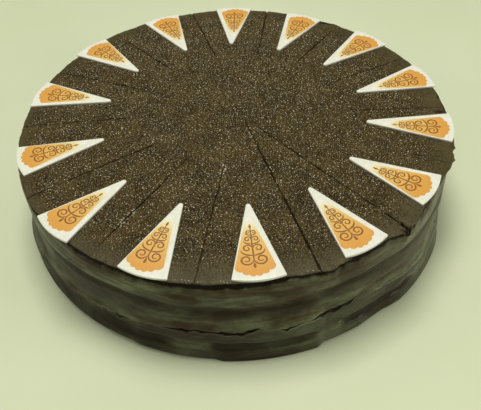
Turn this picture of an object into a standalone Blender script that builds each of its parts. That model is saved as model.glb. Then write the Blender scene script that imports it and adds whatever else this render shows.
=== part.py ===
"""A whole chocolate-glazed torte, scored for fourteen slices, with a wedge-shaped plaque lying on each slice.

Metres and degrees, +Z up. The origin is the middle of the flat base, on the surface that the torte rests on.
Angles are measured from +X, anticlockwise seen from above. Depths are measured down from the glazed top.
"""

import math

import bmesh
import bpy
from mathutils import Vector

MM = 0.001

# The cake
HEIGHT = 58.6 * MM
RIM_RADIUS = 129.8 * MM
FOOT_RADIUS = 134.7 * MM
RIM_LOBES = 3
RIM_LOBE_SIZE = 1.5 * MM
RIM_LOBE_TURN = -6.0
# Where the scraper left the foot thicker or thinner: (from, to, softness of the ends, how far it swells)
FOOT_SWELLS = (
    (-116.0, -94.0, 2.0, 0.8 * MM),
    (-96.0, -70.5, 2.0, 2.1 * MM),
    (-61.0, -52.0, 3.0, -0.6 * MM),
    (-53.0, -22.0, 5.0, 1.9 * MM),
    (-12.0, 60.0, 10.0, 0.8 * MM),
    (100.0, 150.0, 12.0, 0.7 * MM),
)
# Where the lip of the top is pressed out or drawn in, in the same terms; it fades out down the side.
LIP_SWELLS = (
    (-173.0, -159.0, 4.0, -0.7 * MM),
    (-146.0, -107.0, 7.0, -1.6 * MM),
    (-110.0, -80.0, 4.0, -0.4 * MM),
    (-79.0, -38.0, 5.0, 1.2 * MM),
    (-72.5, -67.5, 1.5, 1.8 * MM),
    (-53.5, -42.5, 3.5, 2.6 * MM),
    (-50.4, -47.8, 1.0, 1.4 * MM),
    (-28.5, -10.0, 4.0, 1.2 * MM),
    (-27.0, -19.0, 2.0, 1.2 * MM),
)
SWELL_REACH = 18.0 * MM
# Where the wall is drawn in at the left, right and back: (from, to, softness, middle depth, half height, how far)
WAISTS = (
    (-185.0, -138.0, 10.0, 25.0 * MM, 9.0 * MM, 2.0 * MM),
    (-176.0, -149.0, 9.0, 38.0 * MM, 9.0 * MM, 2.4 * MM),
    (-166.0, -147.0, 5.0, 10.0 * MM, 5.0 * MM, 0.7 * MM),
    (-42.0, 12.0, 10.0, 36.0 * MM, 12.0 * MM, 3.0 * MM),
    (-38.0, 8.0, 10.0, 9.0 * MM, 8.0 * MM, 2.0 * MM),
    (-30.0, 6.0, 8.0, 50.0 * MM, 9.0 * MM, 0.7 * MM),
    (45.0, 135.0, 20.0, 30.0 * MM, 14.0 * MM, 2.4 * MM),
)

# The divider that scored the top stood a little off the cake's centre.
SLICES = 14
STEP = 360.0 / SLICES
DIVIDER_X = 5.0 * MM
FIRST_PLAQUE = 168.8

# Score lines, each between two plaques; the last one before the first plaque is number 0
SCORE_WIDTH = 0.9 * MM
SCORE_DEPTH = 1.5 * MM
SCORE_RUN_IN = 8.0 * MM
SCORE_START = 62.0 * MM
LONG_SCORES = {9: 14.0 * MM, 10: 12.0 * MM, 11: 40.0 * MM, 12: 45.0 * MM, 13: 50.0 * MM}
NOTCH_DEPTH = 0.7 * MM
NOTCH_REACH = 4.0 * MM
BROKEN_SCORE = 9
BROKEN_DEPTH = 2.4 * MM
BROKEN_REACH = 10.0 * MM
NARROWEST_TURN = math.radians(1.1)
# How each score line strays from its regular ray: (turned by, passes the divider's mark by)
SCORE_LEANS = {
    0: (2.4, -6.0 * MM),
    1: (1.5, -4.0 * MM),
    2: (0.5, 0.0),
    3: (1.8, -4.5 * MM),
    4: (1.6, -3.0 * MM),
    5: (0.4, 0.0),
    6: (-1.6, 0.0),
    7: (-2.4, 0.0),
    8: (-0.2, 0.0),
    9: (-0.6, -0.5 * MM),
    10: (0.9, 0.8 * MM),
    11: (0.55, -1.4 * MM),
    12: (2.8, -4.0 * MM),
    13: (3.9, -5.0 * MM),
}
MOST_LEAN = 0.1
RIM_REACH = 125.0 * MM

# Features round the side, as depths below the top
FOLD_DEPTH = 18.0 * MM
RECESS_TOP = 44.2 * MM
RECESS_BOTTOM = 50.0 * MM
# The stretches where the glaze is drawn in above the foot
RECESS_PARTS = ((-150.0, -104.0), (-98.0, -71.5), (-67.0, -43.0), (15.0, 78.0), (86.0, 130.0), (138.0, 188.0))
SEAM_REPEAT = 90.0
SEAM_START = -130.0
# The seam under the lower ledge breaks into flakes: (turn from the start, depth) down one repeat of it
SEAM_COURSE = (
    (0.0, 38.0 * MM),
    (18.0, 37.0 * MM),
    (22.0, 35.0 * MM),
    (43.0, 31.0 * MM),
    (46.0, 35.5 * MM),
    (74.0, 30.0 * MM),
    (90.0, 38.0 * MM),
)
# Each flake gapes between two turns: (from, to, how deep)
SEAM_GAPS = ((3.0, 17.0, 0.5 * MM), (23.0, 43.0, 1.3 * MM), (46.5, 74.0, 1.1 * MM))

# Plaques
PLAQUE_LENGTH = 50.8 * MM
PLAQUE_WIDTH = 26.4 * MM
PLAQUE_THICKNESS = 0.8 * MM
PLAQUE_BEVEL = 0.2 * MM
PLAQUE_TIP_RADIUS = 1.3 * MM
PLAQUE_END_RADIUS = 44.0 * MM
TOUCHING_GAP = 0.3 * MM
TIP_POINTS = 5
ARC_POINTS = 8
# Each was laid by hand: how far round from its regular ray, how far it is turned on its own middle, and how
# many millimetres the middle of its end stands out past the rim's even line
PLAQUE_SLIPS = (-1.5, -1.5, -2.3, -0.5, 0.5, 0.0, -0.5, 1.0, 0.5, 0.5, 0.4, 1.0, 1.5, 0.5)
PLAQUE_TWISTS = (0.0, -4.0, -1.3, -4.5, -3.5, 0.5, 4.0, -0.5, 1.0, 1.5, 2.0, 2.0, 2.5, 5.0)
PLAQUE_OUTS = (1.0, 0.7, -0.5, 0.8, -0.5, 1.5, 1.5, 1.3, 0.5, 1.5, 0.2, 0.5, 1.5, 0.2)

# Mesh rings on the top, out from the divider, then in from the rim with their drop; plain columns per slice
TOP_RINGS = (12.0 * MM, 20.0 * MM, 40.0 * MM, 50.0 * MM, 62.0 * MM, 70.0 * MM)
RIM_RINGS = ((3.0 * MM, 0.0), (1.1 * MM, 0.0), (0.3 * MM, 0.25 * MM))
PLAIN_COLUMNS = 6

GLAZE = ("dark chocolate glaze", (0.055, 0.040, 0.020, 1.0), 0.42)
ICING = ("white chocolate", (0.88, 0.86, 0.70, 1.0), 0.45)


def ramp(value, low, high):
    """0 at low, 1 at high, straight between, and flat beyond."""
    return min(1.0, max(0.0, (value - low) / (high - low)))


def turn_between(angle, start, end, soft=2.0):
    """1 well inside the stretch from start to end degrees, falling to 0 over soft degrees at each end."""
    middle = 0.5 * (start + end)
    away = abs((angle - middle + 180.0) % 360.0 - 180.0)
    return 1.0 - ramp(away, 0.5 * (end - start) - soft, 0.5 * (end - start))


def rim_radius(angle):
    return RIM_RADIUS + RIM_LOBE_SIZE * math.cos(math.radians(RIM_LOBES * (angle - RIM_LOBE_TURN)))


def lip_swell(angle):
    return sum(size * turn_between(angle, *stretch) for *stretch, size in LIP_SWELLS)


def waist(angle, depth):
    """How far the wall is drawn in at a depth."""
    drawn = 0.0
    for start, end, soft, middle, half, size in WAISTS:
        drawn += size * turn_between(angle, start, end, soft) * math.exp(-(((depth - middle) / half) ** 2))
    return drawn


def lip_radius(angle):
    return rim_radius(angle) + lip_swell(angle)


def foot_radius(angle):
    return FOOT_RADIUS + sum(size * turn_between(angle, *stretch) for *stretch, size in FOOT_SWELLS)


def fold_depth(angle):
    swing = math.sin(math.radians(3.0 * angle - 40.0)) + 0.5 * math.sin(math.radians(7.0 * angle))
    return FOLD_DEPTH + 1.2 * MM * swing


def seam_depth(angle):
    turn = (angle - SEAM_START) % SEAM_REPEAT
    for (turn_a, depth_a), (turn_b, depth_b) in zip(SEAM_COURSE, SEAM_COURSE[1:]):
        if turn <= turn_b:
            return depth_a + (depth_b - depth_a) * ramp(turn, turn_a, turn_b)
    return SEAM_COURSE[-1][1]


def seam_gap(angle):
    turn = (angle - SEAM_START) % SEAM_REPEAT
    return sum(size * turn_between(turn, start, end) for start, end, size in SEAM_GAPS)


def side_profile(angle):
    """(depth, how far it stands out from the straight side) for each row, from the rim down to the base."""
    fold = fold_depth(angle)
    seam = seam_depth(angle)
    gap = seam_gap(angle)
    drawn = sum(turn_between(angle, start, end, 3.0) for start, end in RECESS_PARTS)
    return (
        (0.8 * MM, 0.0),
        (1.8 * MM, -0.9 * MM),
        (3.6 * MM, -0.1 * MM),
        (9.0 * MM, 0.5 * MM),
        (fold - 3.0 * MM, 0.3 * MM),
        (fold, -0.7 * MM),
        (fold + 2.5 * MM, 0.0),
        (0.5 * (fold + seam), 0.3 * MM),
        (seam - 2.6 * MM, 0.7 * MM),
        (seam - 0.7 * MM, 0.9 * MM),
        (seam, 0.4 * MM - gap),
        (seam + 1.5 * MM, 0.3 * MM),
        (0.5 * (seam + RECESS_TOP), 0.5 * MM),
        (RECESS_TOP, 0.2 * MM),
        (RECESS_TOP + 2.0 * MM, 0.2 * MM - 1.8 * MM * drawn),
        (RECESS_BOTTOM, 0.2 * MM - 1.3 * MM * drawn),
        (RECESS_BOTTOM + 1.6 * MM, 0.1 * MM),
        (55.0 * MM, 0.3 * MM),
        (57.8 * MM, 0.1 * MM),
        (HEIGHT, -0.4 * MM),
    )


def side_column(angle, notch_depth, notch_reach):
    """The points of one upright column of the side, from the rim down."""
    rim, foot = rim_radius(angle), foot_radius(angle)
    out = Vector((math.cos(math.radians(angle)), math.sin(math.radians(angle)), 0.0))
    points = []
    for depth, stand in side_profile(angle):
        radius = rim + (foot - rim) * depth / HEIGHT + stand
        radius += lip_swell(angle) * (1.0 - ramp(depth, 0.0, SWELL_REACH)) - waist(angle, depth)
        radius -= notch_depth * (1.0 - ramp(depth, 0.0, notch_reach))
        points.append(out * radius + Vector((0.0, 0.0, HEIGHT - depth)))
    return points


def rim_point(ray, edge_radius, sideways=0.0):
    """Where the ray from the divider, moved sideways, meets an edge, on the plane of the top."""
    along = Vector((math.cos(math.radians(ray)), math.sin(math.radians(ray)), 0.0))
    start = Vector((DIVIDER_X, 0.0, 0.0)) + Vector((-along.y, along.x, 0.0)) * sideways
    reach = RIM_RADIUS
    for _ in range(6):
        point = start + along * reach
        reach += edge_radius(math.degrees(math.atan2(point.y, point.x))) - point.length
    return start + along * reach


def score_depth(number, distance):
    start = LONG_SCORES.get(number, SCORE_START)
    return SCORE_DEPTH * ramp(distance, start, start + SCORE_RUN_IN)


def score_angle(number, distance):
    """Which way score line number lies from the divider's mark, at a distance out."""
    turned, passes = SCORE_LEANS[number % SLICES]
    lean = min(MOST_LEAN, max(-MOST_LEAN, passes / distance))
    return FIRST_PLAQUE - STEP * (number - 0.5) + turned + math.degrees(math.asin(lean))


def column_angle(number, share, distance):
    """The same for a column that runs between a score line and the next one, at a share of the way over."""
    return (1.0 - share) * score_angle(number, distance) + share * score_angle(number + 1, distance)


def column_points(number, share, side):
    """One column of the whole outside, from near the divider to the rim and down to the base.

    side is 0 for the bottom of score line number, -1 or +1 for its two edges, and None between score lines.
    """
    edge = side or 0
    bottom = side == 0
    points = []
    for distance in TOP_RINGS:
        turn = edge * min(0.5 * SCORE_WIDTH / distance, NARROWEST_TURN)
        angle = math.radians(column_angle(number, share, distance)) + turn
        drop = score_depth(number, distance) if bottom else 0.0
        points.append(Vector((DIVIDER_X + distance * math.cos(angle), distance * math.sin(angle), HEIGHT - drop)))
    rim = rim_point(column_angle(number, share, RIM_REACH), lip_radius, edge * 0.5 * SCORE_WIDTH)
    for inset, drop in RIM_RINGS:
        flat = rim * (1.0 - inset / rim.length)
        depth = max(drop, SCORE_DEPTH if bottom else 0.0)
        points.append(flat + Vector((0.0, 0.0, HEIGHT - depth)))
    notch_depth, notch_reach = 0.0, NOTCH_REACH
    if bottom:
        notch_depth = NOTCH_DEPTH
        if number == BROKEN_SCORE:
            notch_depth, notch_reach = BROKEN_DEPTH, BROKEN_REACH
    points += side_column(math.degrees(math.atan2(rim.y, rim.x)), notch_depth, notch_reach)
    if bottom:
        edge_row = len(TOP_RINGS) + len(RIM_RINGS)
        points[edge_row].z = HEIGHT - SCORE_DEPTH
    return points


def cake_columns():
    columns = []
    for number in range(SLICES):
        columns += [column_points(number, 0.0, side) for side in (1, 0, -1)]
        for step in range(1, PLAIN_COLUMNS + 1):
            columns.append(column_points(number, step / (PLAIN_COLUMNS + 1), None))
    return columns


def new_object(name, bm, material):
    bmesh.ops.recalc_face_normals(bm, faces=bm.faces)
    mesh = bpy.data.meshes.new(name)
    bm.to_mesh(mesh)
    bm.free()
    mesh.materials.append(material)
    obj = bpy.data.objects.new(name, mesh)
    bpy.context.scene.collection.objects.link(obj)
    return obj


def make_material(name, colour, roughness):
    material = bpy.data.materials.new(name)
    material.use_nodes = True
    shader = material.node_tree.nodes["Principled BSDF"]
    shader.inputs["Base Color"].default_value = colour
    shader.inputs["Roughness"].default_value = roughness
    shader.inputs["Metallic"].default_value = 0.0
    return material


def make_cake(material):
    """One closed solid: columns of quads from the divider's mark, over the rim, down to the flat base."""
    bm = bmesh.new()
    centre = bm.verts.new((DIVIDER_X, 0.0, HEIGHT))
    columns = [[bm.verts.new(point) for point in column] for column in cake_columns()]
    for here, beside in zip(columns, columns[1:] + columns[:1]):
        bm.faces.new((centre, here[0], beside[0]))
        for row in range(len(here) - 1):
            bm.faces.new((here[row], here[row + 1], beside[row + 1], beside[row]))
    bm.faces.new([column[-1] for column in columns])
    cake = new_object("cake", bm, material)
    cake.data.shade_smooth()
    cake.data.set_sharp_from_angle(angle=math.radians(30.0))
    return cake


def plaque_outline(inset):
    """The wedge's outline, moved inwards by inset, with its tip towards -X and its own middle at the origin."""
    half = 0.5 * PLAQUE_WIDTH
    taper = math.asin((half - PLAQUE_TIP_RADIUS) / (PLAQUE_LENGTH - PLAQUE_TIP_RADIUS))
    tip_x = PLAQUE_TIP_RADIUS - 0.5 * PLAQUE_LENGTH
    points = []
    for step in range(TIP_POINTS):
        angle = math.pi - (math.pi / 2 - taper) * (1.0 - 2.0 * step / (TIP_POINTS - 1))
        radius = PLAQUE_TIP_RADIUS - inset
        points.append((tip_x + radius * math.cos(angle), radius * math.sin(angle)))
    arc_middle = 0.5 * PLAQUE_LENGTH - PLAQUE_END_RADIUS
    reach = math.asin((half - inset) / PLAQUE_END_RADIUS)
    for step in range(ARC_POINTS):
        angle = reach * (2.0 * step / (ARC_POINTS - 1) - 1.0)
        radius = PLAQUE_END_RADIUS - inset
        points.append((arc_middle + radius * math.cos(angle), radius * math.sin(angle)))
    return points


def plaque_mesh():
    bm = bmesh.new()
    levels = ((0.0, 0.0), (0.0, PLAQUE_THICKNESS - PLAQUE_BEVEL), (PLAQUE_BEVEL, PLAQUE_THICKNESS))
    rings = [[bm.verts.new((x, y, z)) for x, y in plaque_outline(inset)] for inset, z in levels]
    for lower, upper in zip(rings, rings[1:]):
        for index in range(len(lower)):
            after = (index + 1) % len(lower)
            bm.faces.new((lower[index], lower[after], upper[after], upper[index]))
    bm.faces.new(rings[0])
    bm.faces.new(rings[-1])
    return bm


def make_plaques(material):
    first = new_object("plaque_01", plaque_mesh(), material)
    plaques = [first]
    for number in range(2, SLICES + 1):
        plaque = bpy.data.objects.new(f"plaque_{number:02d}", first.data)
        bpy.context.scene.collection.objects.link(plaque)
        plaques.append(plaque)
    for index, plaque in enumerate(plaques):
        ray = FIRST_PLAQUE - STEP * index + PLAQUE_SLIPS[index]
        along = Vector((math.cos(math.radians(ray)), math.sin(math.radians(ray)), 0.0))
        middle = rim_point(ray, rim_radius) + along * (PLAQUE_OUTS[index] * MM - 0.5 * PLAQUE_LENGTH)
        plaque.location = middle + Vector((0.0, 0.0, HEIGHT + TOUCHING_GAP))
        plaque.rotation_euler.z = math.radians(ray + PLAQUE_TWISTS[index])
    return plaques


def main():
    for obj in list(bpy.data.objects):
        bpy.data.objects.remove(obj, do_unlink=True)
    make_cake(make_material(*GLAZE))
    make_plaques(make_material(*ICING))


main()
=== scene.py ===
"""The looks of a chocolate-glazed torte: glaze, grain, score lines, broken seam and printed plaques.

Metres and degrees, +Z up, in the frame's own axes; tables are in millimetres where their comments say so.
Angles are measured from +X, anticlockwise seen from above; depths are measured down from the glazed top;
fields and profiles are numpy arrays.
"""

import math
from collections import namedtuple

import bpy
import numpy as np
from mathutils import Matrix, Vector
from mathutils.geometry import delaunay_2d_cdt


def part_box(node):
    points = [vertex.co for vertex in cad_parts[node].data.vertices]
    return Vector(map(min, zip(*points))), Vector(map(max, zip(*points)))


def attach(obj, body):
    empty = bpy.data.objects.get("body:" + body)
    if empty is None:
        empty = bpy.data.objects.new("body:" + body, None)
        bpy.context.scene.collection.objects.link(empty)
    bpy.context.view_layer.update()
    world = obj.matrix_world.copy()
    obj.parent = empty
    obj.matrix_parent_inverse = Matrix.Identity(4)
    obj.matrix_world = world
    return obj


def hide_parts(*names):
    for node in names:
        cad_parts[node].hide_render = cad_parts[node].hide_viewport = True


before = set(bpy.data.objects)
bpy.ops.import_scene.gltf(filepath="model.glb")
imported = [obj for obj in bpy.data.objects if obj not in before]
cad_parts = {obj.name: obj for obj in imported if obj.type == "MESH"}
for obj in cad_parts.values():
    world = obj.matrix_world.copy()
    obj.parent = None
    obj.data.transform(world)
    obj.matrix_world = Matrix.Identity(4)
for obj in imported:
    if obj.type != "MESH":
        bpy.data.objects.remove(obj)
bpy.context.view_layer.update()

MM = 0.001

# The cake's shape, as its solid has it
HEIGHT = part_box("cake")[1].z
RIM_RADIUS = 129.8 * MM
FOOT_RADIUS = 134.7 * MM
# Where the foot is thicker or thinner: (from, to, softness of the ends, swell in millimetres)
FOOT_SWELLS = (
    (-116.0, -94.0, 2.0, 0.8),
    (-96.0, -70.5, 2.0, 2.1),
    (-61.0, -52.0, 3.0, -0.6),
    (-53.0, -22.0, 5.0, 1.9),
    (-12.0, 60.0, 10.0, 0.8),
    (100.0, 150.0, 12.0, 0.7),
)
# Where the lip of the top is pressed out or drawn in, in the same terms; it fades out down the side
LIP_SWELLS = (
    (-173.0, -159.0, 4.0, -0.7),
    (-146.0, -107.0, 7.0, -1.6),
    (-110.0, -80.0, 4.0, -0.4),
    (-79.0, -38.0, 5.0, 1.2),
    (-72.5, -67.5, 1.5, 1.8),
    (-53.5, -42.5, 3.5, 2.6),
    (-50.4, -47.8, 1.0, 1.4),
    (-28.5, -10.0, 4.0, 1.2),
    (-27.0, -19.0, 2.0, 1.2),
)
SWELL_REACH = 18.0 * MM
# Where the wall is drawn in at the left, right and back: (from, to, softness of the ends, then the middle
# depth, half height and size in millimetres)
WAISTS = (
    (-185.0, -138.0, 10.0, 25.0, 9.0, 2.0),
    (-176.0, -149.0, 9.0, 38.0, 9.0, 2.4),
    (-166.0, -147.0, 5.0, 10.0, 5.0, 0.7),
    (-42.0, 12.0, 10.0, 36.0, 12.0, 3.0),
    (-38.0, 8.0, 10.0, 9.0, 8.0, 2.0),
    (-30.0, 6.0, 8.0, 50.0, 9.0, 0.7),
    (45.0, 135.0, 20.0, 30.0, 14.0, 2.4),
)
# The rim is not quite round, but a little three-cornered
RIM_LOBES = 3
RIM_LOBE_SIZE = 1.5 * MM
RIM_LOBE_TURN = -6.0
# The slices, how far the divider's mark stands to the right of the middle, and the first plaque's direction
SLICES = 14
STEP = 360.0 / SLICES
DIVIDER_X = 5.0 * MM
FIRST_PLAQUE = 168.8
# Depths of the fold and of the recess above the foot, in millimetres
FOLD_DEPTH = 18.0
RECESS_TOP = 44.2
RECESS_BOTTOM = 50.0
# The stretches where the glaze is drawn in above the foot
RECESS_PARTS = (
    (-150.0, -104.0), (-98.0, -71.5), (-67.0, -43.0), (15.0, 78.0), (86.0, 130.0), (138.0, 188.0),
)
# The broken seam: (degrees, depth in millimetres) along its course, which repeats round the cake
SEAM_REPEAT = 90.0
SEAM_START = -130.0
SEAM_COURSE = (
    (0.0, 38.0), (18.0, 37.0), (23.0, 34.6), (30.0, 33.2), (37.0, 33.0), (42.0, 31.4), (44.5, 31.8),
    (46.5, 34.0), (50.5, 36.2), (54.0, 33.4), (57.0, 32.2), (62.0, 31.4), (70.0, 32.0), (75.0, 33.5),
    (90.0, 38.0),
)
# The seam gapes between two turns: (from, to, depth in millimetres)
SEAM_GAPS = (
    (3.0, 8.0, 0.4), (10.0, 17.0, 0.45), (22.5, 34.5, 0.9), (33.5, 44.5, 1.3), (48.0, 55.6, 0.9),
    (54.8, 67.5, 1.0), (69.0, 71.5, 0.6), (73.0, 76.0, 0.6),
)

# Score lines; line n lies between plaques n and n + 1, clockwise, and line 0 before the first plaque. The
# full depth and half-width are in millimetres.
SCORE_DEPTH = 1.2
SCORE_HALF_WIDTH = 0.6
Score = namedtuple("Score", "turned passes start strength")
# How far each line is turned from its regular ray and, in millimetres, how far beside the divider's mark it
# passes and how far from there it starts
SCORES = [Score(*row) for row in (
    (2.4, -6.0, 62.0, 0.8),
    (1.5, -4.0, 62.0, 0.9),
    (0.5, 0.0, 62.0, 0.8),
    (1.8, -4.5, 62.0, 0.9),
    (1.6, -3.0, 62.0, 1.0),
    (0.4, 0.0, 62.0, 0.9),
    (-1.6, 0.0, 62.0, 1.0),
    (-2.4, 0.0, 62.0, 0.7),
    (-0.2, 0.0, 62.0, 0.5),
    (-0.6, -0.5, 12.0, 0.95),
    (0.9, 0.8, 5.0, 1.05),
    (0.55, -1.4, 40.0, 0.7),
    (2.8, -4.0, 45.0, 0.95),
    (3.9, -5.0, 50.0, 1.0),
)]
# Lines that stop short of the rim, by so many millimetres; lines that stay deep all the way to it; and the
# line that ends in a torn hollow
UNFINISHED_SCORES = {8: 8.0, 12: 10.0}
DEEP_SCORES = (3, 4, 9, 10)
BROKEN_SCORE = 9
# The sine of the most that a line may bend round near the divider's mark
MOST_LEAN = 0.1

# Meshes
SIDE_COLUMNS = 960
SIDE_ROW = 0.7
# The top's columns beside each score line, in millimetres off it; they draw together near the divider
SCORE_LANES = (-1.7, -1.1, -0.75, -0.5, -0.25, 0.0, 0.25, 0.5, 0.75, 1.1, 1.7)
LANE_LIMIT = math.radians(4.0)
PLAIN_COLUMNS = 22
TOP_COLUMNS = SLICES * (len(SCORE_LANES) + PLAIN_COLUMNS)
TOP_RINGS = 128
# Cells of the sheets of random values, and how wide the top's sheets are
SHEET = 512
ROUND_CELLS = 4096
SIDE_CELLS = (256, 2048)
TOP_SPAN = 0.29


# Numbers


def ramp(value, low, high):
    """0 at low, 1 at high, straight between, and flat beyond."""
    return np.clip((value - low) / (high - low), 0.0, 1.0)


def smooth(value, low, high):
    """As ramp, but easing in and out."""
    t = ramp(value, low, high)
    return t * t * (3.0 - 2.0 * t)


def turn_between(angle, start, end, soft=2.0):
    """1 well inside the stretch from start to end degrees, falling to 0 over soft degrees at each end."""
    away = np.abs((angle - 0.5 * (start + end) + 180.0) % 360.0 - 180.0)
    half = 0.5 * (end - start)
    return 1.0 - ramp(away, half - soft, half)


def stretches(table, angle):
    """The sizes of a table's stretches at each angle, added up."""
    return sum(size * turn_between(angle, *stretch) for *stretch, size in table)


def follow(table, angle):
    """The value at each angle along a table of (angle, value) between -180 and 180 degrees."""
    return np.interp((angle + 180.0) % 360.0 - 180.0, *zip(*table))


def angle_of(x, y):
    return np.degrees(np.arctan2(y, x))


def bell(value, middle, half):
    """1 at the middle, falling away smoothly on both sides, to about a third at half from it."""
    return np.exp(-(((value - middle) / half) ** 2))


def oval(x, y, half_x, half_y):
    """1 in the middle of an oval, 0 on its edge and less outside it."""
    return 1.0 - (x / half_x) ** 2 - (y / half_y) ** 2


def random_sheet(seed, row_size, column_size=None, rows=SHEET, columns=SHEET):
    """Smooth random values, mean 0 and spread 1, repeating at the sheet's edges; sizes are shares of it."""
    white = np.fft.rfft2(np.random.default_rng(seed).standard_normal((rows, columns)))
    across = np.fft.fftfreq(rows, 1.0 / rows)[:, None] * row_size
    along = np.fft.rfftfreq(columns, 1.0 / columns)[None, :] * (column_size or row_size)
    sheet = np.fft.irfft2(white * np.exp(-0.5 * math.pi**2 * (across**2 + along**2)), s=(rows, columns))
    return (sheet - sheet.mean()) / sheet.std()


def look_up(sheet, v, u):
    """The sheet's value at shares v and u of its rows and columns, blended between cells."""
    rows, columns = sheet.shape
    v, u = np.broadcast_arrays(v * rows, u * columns)
    row, column = np.floor(v).astype(int), np.floor(u).astype(int)
    fv, fu = v - row, u - column
    here = lambda r, c: sheet[(row + r) % rows, (column + c) % columns]
    near = here(0, 0) * (1 - fu) + here(0, 1) * fu
    return near * (1 - fv) + (here(1, 0) * (1 - fu) + here(1, 1) * fu) * fv


def round_noise(seed, size, angle):
    """Random values round the cake, about size millimetres across at the rim."""
    share = size * MM / (2.0 * math.pi * RIM_RADIUS)
    return look_up(random_sheet(seed, 1.0, share, 1, ROUND_CELLS), 0.0, (angle % 360.0) / 360.0)


def side_noise(seed, tall, wide, depth, angle):
    """Random values over the side, in features of about tall by wide millimetres."""
    sheet = random_sheet(seed, tall * MM / HEIGHT, wide * MM / (2.0 * math.pi * RIM_RADIUS), *SIDE_CELLS)
    return look_up(sheet, depth / HEIGHT, (angle % 360.0) / 360.0)


def top_noise(seed, size, x, y):
    """Random values over the top, about size millimetres across."""
    return look_up(random_sheet(seed, size * MM / TOP_SPAN), y / TOP_SPAN + 0.5, x / TOP_SPAN + 0.5)


def line_noise(seed, size, along):
    """Random values along a straight line on the top, about size millimetres across."""
    return look_up(random_sheet(seed, 1.0, size * MM / TOP_SPAN, 1, SHEET), 0.0, along / TOP_SPAN)


# The cake's outline


def rim_radius(angle):
    return RIM_RADIUS + RIM_LOBE_SIZE * np.cos(np.radians(RIM_LOBES * (angle - RIM_LOBE_TURN)))


def lip_swell(angle):
    return stretches(LIP_SWELLS, angle) * MM


def waist(angle, depth):
    """How far the wall is drawn in at a depth."""
    drawn = 0.0
    for *stretch, middle, half, size in WAISTS:
        drawn = drawn + size * turn_between(angle, *stretch) * bell(depth / MM, middle, half)
    return drawn * MM


# Where the lip is torn into small jags, and where it is pressed out by another millimetre
TORN_PARTS = ((-36.0, 11.0), (92.0, 154.0))
PRESSED_PART = (50.0, 71.0, 1.5)


def ragged_rim(angle):
    """The lip of the top, with its small tears and beads."""
    torn = sum(turn_between(angle, start, end, 5.0) for start, end in TORN_PARTS)
    jags = ramp(round_noise(14, 1.5, angle), 1.1, 2.4)
    jags = jags - 0.6 * ramp(round_noise(15, 3, angle), 1.0, 2.0)
    rough = 0.22 * round_noise(11, 6, angle) + 0.13 * round_noise(12, 1.8, angle)
    beads = 0.7 * ramp(round_noise(13, 2.2, angle), 1.7, 3.0)
    stands = rough + 0.9 * torn * jags + beads + turn_between(angle, *PRESSED_PART)
    return rim_radius(angle) + lip_swell(angle) + stands * MM


def foot_radius(angle):
    return FOOT_RADIUS + stretches(FOOT_SWELLS, angle) * MM


def fold_depth(angle):
    """Depth of the fold round the side, in millimetres."""
    swing = np.sin(np.radians(3.0 * angle - 40.0)) + 0.5 * np.sin(np.radians(7.0 * angle))
    return FOLD_DEPTH + 1.2 * swing + 0.25 * round_noise(21, 9, angle)


def seam_turn(angle):
    """Degrees since the seam's course last began."""
    return (angle - SEAM_START) % SEAM_REPEAT


def seam_depth(angle):
    """Depth of the broken seam round the side, in millimetres."""
    course = np.interp(seam_turn(angle), *zip(*SEAM_COURSE))
    return course + 0.5 * round_noise(22, 4.5, angle) + 0.35 * round_noise(23, 1.7, angle)


def seam_gap(angle):
    """How deep the seam gapes, in millimetres."""
    gape = stretches(SEAM_GAPS, seam_turn(angle))
    return np.clip(gape * (0.9 + 0.3 * round_noise(24, 3.5, angle)), 0.0, 1.7)


# Mesh making


def new_mesh(name, points, faces, **values):
    """A smooth mesh object; each value is one number or vector for each point, kept as an attribute."""
    mesh = bpy.data.meshes.new(name)
    mesh.from_pydata(np.asarray(points).tolist(), [], faces)
    for key, value in values.items():
        value = np.asarray(value, np.float32)
        kind = "FLOAT" if value.ndim == 1 else "FLOAT_VECTOR"
        attribute = mesh.attributes.new(key, kind, "POINT")
        attribute.data.foreach_set("value" if value.ndim == 1 else "vector", value.ravel())
    mesh.shade_smooth()
    mesh.validate()
    obj = bpy.data.objects.new(name, mesh)
    bpy.context.scene.collection.objects.link(obj)
    return obj


def grid_faces(rows, columns):
    """Quads between rows of points, each row a closed ring. They face outwards for rings that run
    anticlockwise and rows that run down from the top."""
    row = np.arange(rows - 1)[:, None] * columns
    here = np.arange(columns)[None, :]
    after = (here + 1) % columns
    quads = np.stack([row + here, row + columns + here, row + columns + after, row + after], -1)
    return quads.reshape(-1, 4).tolist()


def closed_faces(rows, columns):
    """As grid_faces, with each end ring closed by a fan to a point of its own after the grid."""
    top, bottom = rows * columns, rows * columns + 1
    faces = grid_faces(rows, columns)
    for here in range(columns):
        faces.append((here, (here + 1) % columns, top))
    last = (rows - 1) * columns
    for here in range(columns):
        faces.append((last + (here + 1) % columns, last + here, bottom))
    return faces


def face_corners(obj):
    """(the place of each corner of each face, how many corners each face has)"""
    mesh = obj.data
    corners = np.empty(len(mesh.loops), np.int32)
    mesh.loops.foreach_get("vertex_index", corners)
    points = np.empty(len(mesh.vertices) * 3, np.float32)
    mesh.vertices.foreach_get("co", points)
    return points.reshape(-1, 3)[corners], np.array([len(face.vertices) for face in mesh.polygons])


def set_uv(obj, uv):
    """A baking map with one place for each corner of each face."""
    layer = obj.data.uv_layers.new(name="OFBake")
    layer.data.foreach_set("uv", np.asarray(uv, np.float32).ravel())


# The side


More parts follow.
